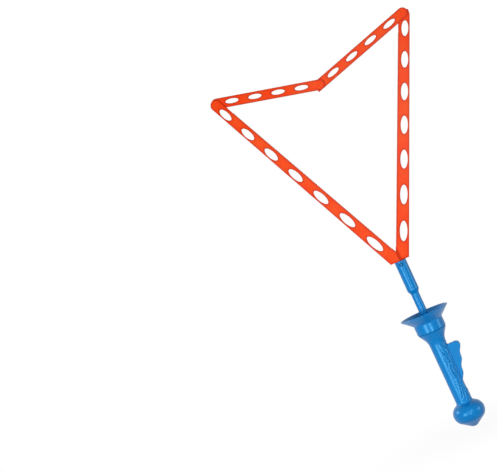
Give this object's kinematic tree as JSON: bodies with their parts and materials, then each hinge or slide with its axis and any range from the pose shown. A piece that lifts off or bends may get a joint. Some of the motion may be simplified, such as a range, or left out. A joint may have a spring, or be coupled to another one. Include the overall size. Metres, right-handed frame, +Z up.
{
  "type": "bubble wand",
  "caption": "Hand-held bubble wand with a squeeze trigger in the grip that folds a loop of slotted arms through a pull rod, with a dished splash guard above the grip.",
  "frame": {"origin": "centre of the grip, on the wand's axis", "axes": "+Z up the wand from the grip to the loop, the loop lies in XZ, +X towards the trigger, -Y towards the viewer of the picture"},
  "size_m": [0.3093, 0.0706, 0.5712],
  "materials": {
    "blue_plastic": "glossy moulded plastic",
    "orange_plastic": "glossy moulded plastic",
    "white_plastic": "plain moulded plastic",
    "steel": "plain pin steel",
    "spring_steel": "drawn wire"
  },
  "bodies": {
    "handle": {"handle_front": "blue_plastic", "handle_back": "blue_plastic", "pommel_screw": "steel", "splash_guard": "blue_plastic", "stem": "blue_plastic", "arm_pivot_pin": "blue_plastic", "trigger_pivot_pin": "steel", "return_spring": "spring_steel"},
    "pull_rod": {"pull_rod": "white_plastic", "drive_pin": "steel", "link_pin": "steel"},
    "trigger": {"trigger": "blue_plastic"},
    "left_arm": {"left_long_arm": "orange_plastic", "left_tip_rivet": "orange_plastic"},
    "right_arm": {"right_long_arm": "orange_plastic", "right_tip_rivet": "orange_plastic"},
    "left_tip": {"left_short_arm": "orange_plastic", "middle_rivet_front": "orange_plastic"},
    "right_tip": {"right_short_arm": "orange_plastic", "middle_rivet_back": "orange_plastic"}
  },
  "joints": [
    {"name": "left_arm_fold", "type": "hinge", "parent": "handle", "child": "left_arm", "pos_m": [0, 0, 0.1657], "axis": [0, 1, 0], "range_deg": [0, 24.85]},
    {"name": "right_arm_fold", "type": "hinge", "parent": "handle", "child": "right_arm", "pos_m": [0, 0, 0.1657], "axis": [0, -1, 0], "range_deg": [0, 24.85]},
    {"name": "left_tip_fold", "type": "hinge", "parent": "left_arm", "child": "left_tip", "pos_m": [-0.14583, 0, 0.48057], "axis": [0, 1, 0], "range_deg": [0, 49.89]},
    {"name": "right_tip_fold", "type": "hinge", "parent": "right_arm", "child": "right_tip", "pos_m": [0.14583, 0, 0.48057], "axis": [0, -1, 0], "range_deg": [0, 49.89]},
    {"name": "rod_pull", "type": "slide", "parent": "handle", "child": "pull_rod", "axis": [0, 0, -1], "range_m": [0, 0.0045], "stiffness_N_per_m": 500, "springref_m": -0.008, "deforming": ["return_spring"]},
    {"name": "trigger_squeeze", "type": "hinge", "parent": "handle", "child": "trigger", "pos_m": [0.0065, 0, -0.024], "axis": [0, -1, 0], "range_deg": [0, 9]}
  ],
  "couplings": [
    {"joint": "right_arm_fold", "follows": "left_arm_fold", "ratio": 1},
    {"joint": "left_tip_fold", "follows": "left_arm_fold", "ratio": 2.0076},
    {"joint": "right_tip_fold", "follows": "left_arm_fold", "ratio": 2.0076},
    {"joint": "rod_pull", "follows": "left_arm_fold", "m_per_rad": 0.010375},
    {"joint": "trigger_squeeze", "follows": "left_arm_fold", "ratio": 0.36217}
  ]
}
